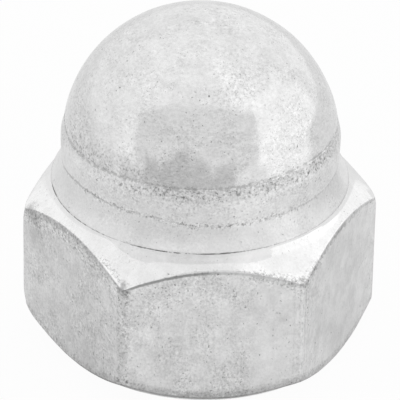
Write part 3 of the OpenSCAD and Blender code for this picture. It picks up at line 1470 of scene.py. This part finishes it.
@dataclass(frozen=True)
class Card:
    """A glowing card on the floor that shows in the nut's reflections alone, in millimetres.

    It fades from its low to its high level between two shares of its height.
    """

    name: str
    turn: float
    distance: float
    left: float
    right: float
    height: float
    low_level: float
    high_level: float
    ragged: float = 0.0
    fade_from: float = 0.5
    fade_to: float = 0.75
    jags_per_m: float = 130.0
    jag_stretch: Triple = (1.0, 0.0, 0.15)

    def make(self, front: float) -> None:
        """Stand the card up.

        Args:
            front: Heading that the studio faces, in degrees.
        """
        left, right, top = self.left * MM, self.right * MM, self.height * MM
        corners = [(left, 0.0, 0.0), (right, 0.0, 0.0), (right, 0.0, top), (left, 0.0, top)]
        card = new_object(self.name, corners, [(0, 1, 2, 3)])
        turn = Matrix.Rotation(math.radians(front + self.turn), 4, "Z")
        card.matrix_world = turn @ Matrix.Translation((0.0, -self.distance * MM, 0.0))
        glowing, bench = NodeBench.material(self.name)
        level = self.low_level if self.high_level == self.low_level else self._fade(bench, top)
        glow = bench.add("Emission", {"Color": WHITE, "Strength": level})
        bench.add("OutputMaterial", {"Surface": glow.outputs[0]})
        card.data.materials.append(glowing)
        card.visible_camera = False
        card.visible_diffuse = False
        card.visible_shadow = False

    def _fade(self, bench: NodeBench, top: float) -> Socket:
        """Fade the glow over the height, along a ragged line.

        Args:
            bench: The card's tree.
            top: The card's height in metres.

        Returns:
            The glow's strength.
        """
        place = bench.add("TexCoord").outputs["Object"]
        up = bench.add("SeparateXYZ", {0: place}).outputs["Z"]
        across = bench.vector("MULTIPLY", place, self.jag_stretch)
        jag = bench.wander(self.ragged * top, self.jags_per_m, 2.0, 0.5, across)
        ends = (self.fade_from * top, self.fade_to * top)
        return bench.ease(bench.math("ADD", up, jag), *ends, self.low_level, self.high_level)


LEFT_EDGE = ((-0.64, -0.73, 0.25), 0.03)
BACK_EDGES = (((-1.0, 0.0, 0.0), 0.3), ((-0.4, 1.0, 0.0), 0.5))


@dataclass
class Studio:
    """Floor, surroundings and cards that light the nut."""

    front: float = -5.2
    base_level: float = 0.97
    floor_half: float = 0.6
    floor_drop: float = 0.02
    floor_shade: float = 0.82
    floor_white: float = 0.95
    footprint: float = 7.6
    glow_under: float = 0.5
    glow_around: float = 0.2
    glow_ahead: float = 0.3
    glow_turn: float = 48.0
    glow_spread: float = 20.0
    patches: tuple[SkyPatch, ...] = (
        SkyPatch(-2.0, 75.0, 50.0, 76.0, 0.94, 30.0, 14.0),  # high in front
        SkyPatch(-130.0, 55.0, -30.0, 34.0, 0.92, 12.0, 14.0),  # low at the left
        SkyPatch(-125.0, 48.0, -30.0, 4.5, 0.86, 12.0, 3.0),  # a skirting there
        SkyPatch(-2.7, 50.3, -30.0, 58.5, 0.79, 4.0, 4.0, 0.35, True),  # the opening in front
    )
    panels: tuple[SkyPanel, ...] = (
        SkyPanel((LEFT_EDGE, *BACK_EDGES), 1.0),
        SkyPanel((((-0.87, -0.46, 0.18), 0.03), ((0.0, -0.853, -0.522), 0.05), *BACK_EDGES), 1.03),
        SkyPanel((LEFT_EDGE, ((-0.56, 0.52, 0.65), 0.12), ((-0.5, 0.87, 0.0), 0.1)), 1.09),
    )
    cards: tuple[Card, ...] = (
        Card("front_card", -6.0, 45.0, -34.0, 28.0, 34.0, 0.6, 0.8, 0.8),
        Card("right_card", 90.0, 48.0, -37.0, 3.0, 26.0, 1.09, 1.09),
    )

    def make(self) -> None:
        """Set up the surroundings, the floor, and a dark card ahead and a bright one at the right."""
        self._world()
        self._floor()
        for card in self.cards:
            card.make(self.front)

    def _world(self) -> None:
        """Build the surroundings, white to the camera itself."""
        world = bpy.data.worlds.new("light_tent")
        bpy.context.scene.world = world
        world.use_nodes = True
        bench = NodeBench(world.node_tree)
        bench.where = bench.add("TexCoord").outputs["Generated"]
        up = bench.add("SeparateXYZ", {0: bench.where}).outputs["Z"]
        level: Any = self.base_level
        for patch in self.patches:
            level = bench.pull(level, patch.mask(bench, up, self.front), patch.level)
        angle = {"Vector": bench.where, "Angle": math.radians(-self.front)}
        turned = bench.add("VectorRotate", angle, rotation_type="Z_AXIS").outputs[0]
        for panel in self.panels:
            level = bench.pull(level, panel.mask(bench, turned), panel.level)
        seen = bench.add("LightPath").outputs["Is Camera Ray"]
        strength = bench.pull(level, seen, 1.0)
        shown = bench.add("Background", {"Color": WHITE, "Strength": strength})
        bench.add("OutputWorld", {"Surface": shown.outputs["Background"]})

    def _floor(self) -> None:
        """Lay a plain white floor that can be looked through from below."""
        half, shade = self.floor_half, self.floor_shade
        corners = [(-half, -half, 0.0), (half, -half, 0.0), (half, half, 0.0), (-half, half, 0.0)]
        floor = new_object("floor", corners, [(0, 1, 2, 3)])
        floor.location.z = -self.floor_drop * MM
        paper, bench = NodeBench.material("white_paper")
        rays = bench.add("LightPath").outputs
        spot = bench.add("NewGeometry").outputs
        bench.where = spot["Position"]
        out = bench.vector("LENGTH", bench.where)
        under = bench.math("LESS_THAN", out, self.footprint * MM)
        share = bench.math("MULTIPLY_ADD", under, self.glow_under, self.glow_around)
        ahead = Place(self.front + self.glow_turn, self.glow_spread).mask(bench)
        share = bench.math("MULTIPLY_ADD", ahead, self.glow_ahead, share)
        mirrored = bench.math("MULTIPLY", rays["Is Glossy Ray"], share)
        white = bench.math("MULTIPLY_ADD", rays["Is Camera Ray"], self.floor_white, mirrored)
        matt = bench.add("BsdfDiffuse", {"Color": (shade, shade, shade, 1.0)})
        glow = bench.add("Emission", {"Color": WHITE, "Strength": 1.0})
        lit = bench.add("MixShader", {0: white, 1: matt.outputs[0], 2: glow.outputs[0]})
        clear = bench.add("BsdfTransparent")
        sides = {0: spot["Backfacing"], 1: lit.outputs[0], 2: clear.outputs[0]}
        both = bench.add("MixShader", sides)
        bench.add("OutputMaterial", {"Surface": both.outputs[0]})
        floor.data.materials.append(paper)


@dataclass
class ProductCamera:
    """A long lens that looks down on one flat, a little from its left."""

    turn: float = -5.17
    rise: float = 31.5
    roll: float = 0.98
    distance: float = 192.3
    lens: float = 334.4
    sensor: float = 36.0
    target: Triple = (0.0, 0.249, 7.21)

    def make(self) -> bpy.types.Object:
        """Place the camera and make it the scene's own.

        Returns:
            The camera object.
        """
        data = bpy.data.cameras.new("product_camera")
        data.sensor_width = self.sensor
        data.lens = self.lens
        data.clip_start, data.clip_end = 0.01, 10.0
        camera = bpy.data.objects.new("product_camera", data)
        bpy.context.scene.collection.objects.link(camera)
        rise = math.radians(self.rise)
        back = Vector(heading_point(self.turn, math.cos(rise), math.sin(rise)))
        camera.location = (Vector(self.target) + back * self.distance) * MM
        camera.rotation_mode = "QUATERNION"
        level = (-back).to_track_quat("-Z", "Y")
        camera.rotation_quaternion = level @ Quaternion((0.0, 0.0, 1.0), math.radians(self.roll))
        bpy.context.scene.camera = camera
        return camera


# ------------------------------------------------------------------- main


def main() -> None:
    """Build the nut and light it."""
    logging.basicConfig(level=logging.INFO, format="%(name)s: %(message)s")
    bpy.context.scene.view_settings.view_transform = "Standard"
    sizes = NutSizes.from_frame(CAD_BOX, frame["record"])
    ProductCamera().make()
    nut = CapNut(sizes).make()
    LOG.info("%s: %d faces", nut.name, len(nut.data.polygons))
    Studio().make()


if __name__ == "__main__":
    main()
